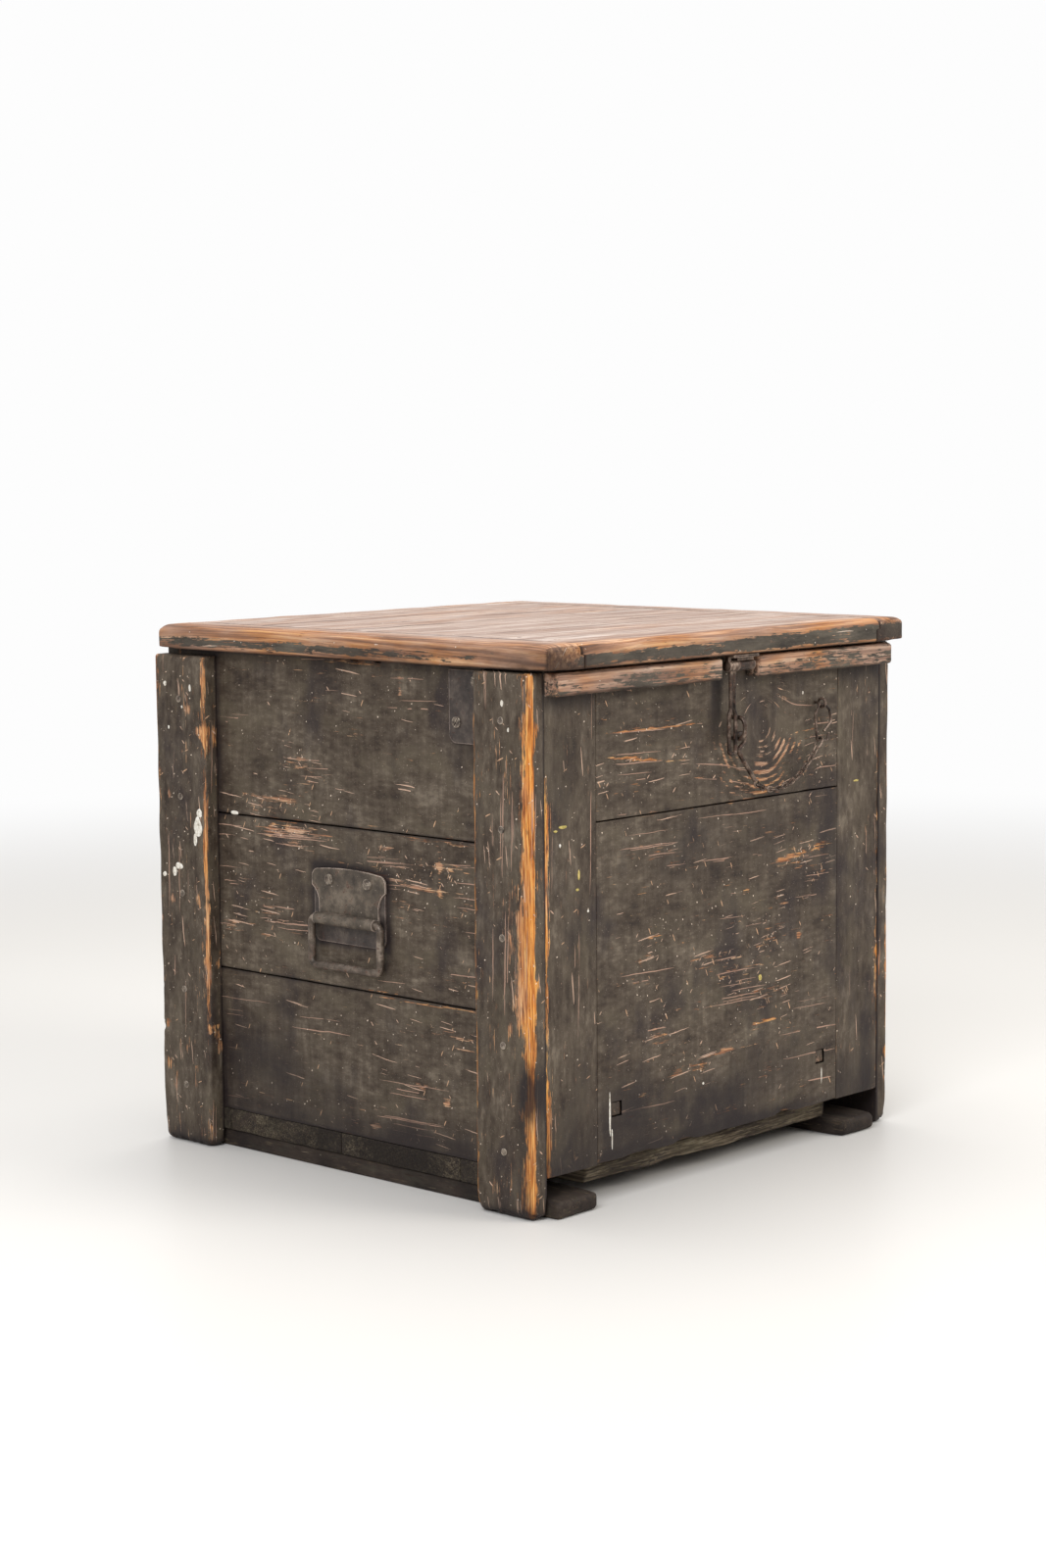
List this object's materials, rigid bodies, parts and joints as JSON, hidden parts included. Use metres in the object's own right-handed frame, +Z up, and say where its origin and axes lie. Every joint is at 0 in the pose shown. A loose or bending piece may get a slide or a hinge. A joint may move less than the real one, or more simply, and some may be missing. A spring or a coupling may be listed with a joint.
{
  "type": "wooden storage chest",
  "caption": "Old painted wooden storage chest with a flat hinged lid, iron drop handles on its sides and a hasp, staple, locking pin and chain in front.",
  "frame": {"origin": "middle of the chest's footprint, on the floor", "axes": "+Z up, +Y towards the back, +X to the right seen from the front"},
  "size_m": [0.5612, 0.5602, 0.542],
  "materials": {
    "painted_wood": "worn grey-green paint",
    "lid_wood": "bare, worn and weathered",
    "bare_wood": "rough, stained",
    "iron_fittings": "dark, rusted",
    "steel_fasteners": "dull"
  },
  "bodies": {
    "case": {"back_left_stile": "painted_wood", "back_lower_board": "painted_wood", "back_right_stile": "painted_wood", "back_upper_board": "painted_wood", "chain_hook": "iron_fittings", "front_floor_board": "bare_wood", "front_left_post": "painted_wood", "front_left_stile": "painted_wood", "front_lower_board": "painted_wood", "front_pegs": "painted_wood", "front_right_post": "painted_wood", "front_right_stile": "painted_wood", "front_upper_board": "painted_wood", "hinge_pins": "steel_fasteners", "hinge_screws": "steel_fasteners", "left_corner_plate": "iron_fittings", "left_handle_plate": "iron_fittings", "left_handle_shield": "iron_fittings", "left_hinge_lower_leaf": "iron_fittings", "left_ledge": "painted_wood", "left_lower_plank": "painted_wood", "left_middle_plank": "painted_wood", "left_skid": "bare_wood", "left_upper_plank": "painted_wood", "post_nails": "steel_fasteners", "rear_floor_board": "bare_wood", "rear_left_post": "painted_wood", "rear_right_post": "painted_wood", "right_corner_plate": "iron_fittings", "right_handle_plate": "iron_fittings", "right_handle_shield": "iron_fittings", "right_hinge_lower_leaf": "iron_fittings", "right_ledge": "painted_wood", "right_lower_plank": "painted_wood", "right_middle_plank": "painted_wood", "right_skid": "bare_wood", "right_upper_plank": "painted_wood", "screw_eye": "iron_fittings", "second_floor_board": "bare_wood", "side_screws": "steel_fasteners", "skid_nails": "steel_fasteners", "staple": "iron_fittings", "third_floor_board": "bare_wood"},
    "lid": {"left_lid_cleat": "lid_wood", "right_lid_cleat": "lid_wood", "front_lid_board": "lid_wood", "second_lid_board": "lid_wood", "third_lid_board": "lid_wood", "rear_lid_board": "lid_wood", "left_hinge_upper_leaf": "iron_fittings", "right_hinge_upper_leaf": "iron_fittings", "hasp_bracket": "iron_fittings", "lid_screws": "steel_fasteners"},
    "hasp": {"hasp": "iron_fittings"},
    "left_bail": {"left_bail": "iron_fittings"},
    "right_bail": {"right_bail": "iron_fittings"},
    "lock_pin": {"lock_pin": "iron_fittings", "pin_chain": "iron_fittings"}
  },
  "joints": [
    {"name": "lid_hinge", "type": "hinge", "parent": "case", "child": "lid", "pos_m": [0, 0.27515, 0.517], "axis": [-1, 0, 0], "range_deg": [0, 105]},
    {"name": "hasp_hinge", "type": "hinge", "parent": "lid", "child": "hasp", "pos_m": [0.0005, -0.27015, 0.506], "axis": [-1, 0, 0], "range_deg": [-5, 110]},
    {"name": "left_bail_hinge", "type": "hinge", "parent": "case", "child": "left_bail", "pos_m": [-0.26848, 0.00185, 0.257], "axis": [0, 1, 0], "range_deg": [0, 165]},
    {"name": "right_bail_hinge", "type": "hinge", "parent": "case", "child": "right_bail", "pos_m": [0.26848, 0.00185, 0.257], "axis": [0, -1, 0], "range_deg": [0, 165]},
    {"name": "lock_pin_slide", "type": "slide", "parent": "case", "child": "lock_pin", "axis": [1, 0, 0], "range_m": [0, 0.0065]}
  ]
}
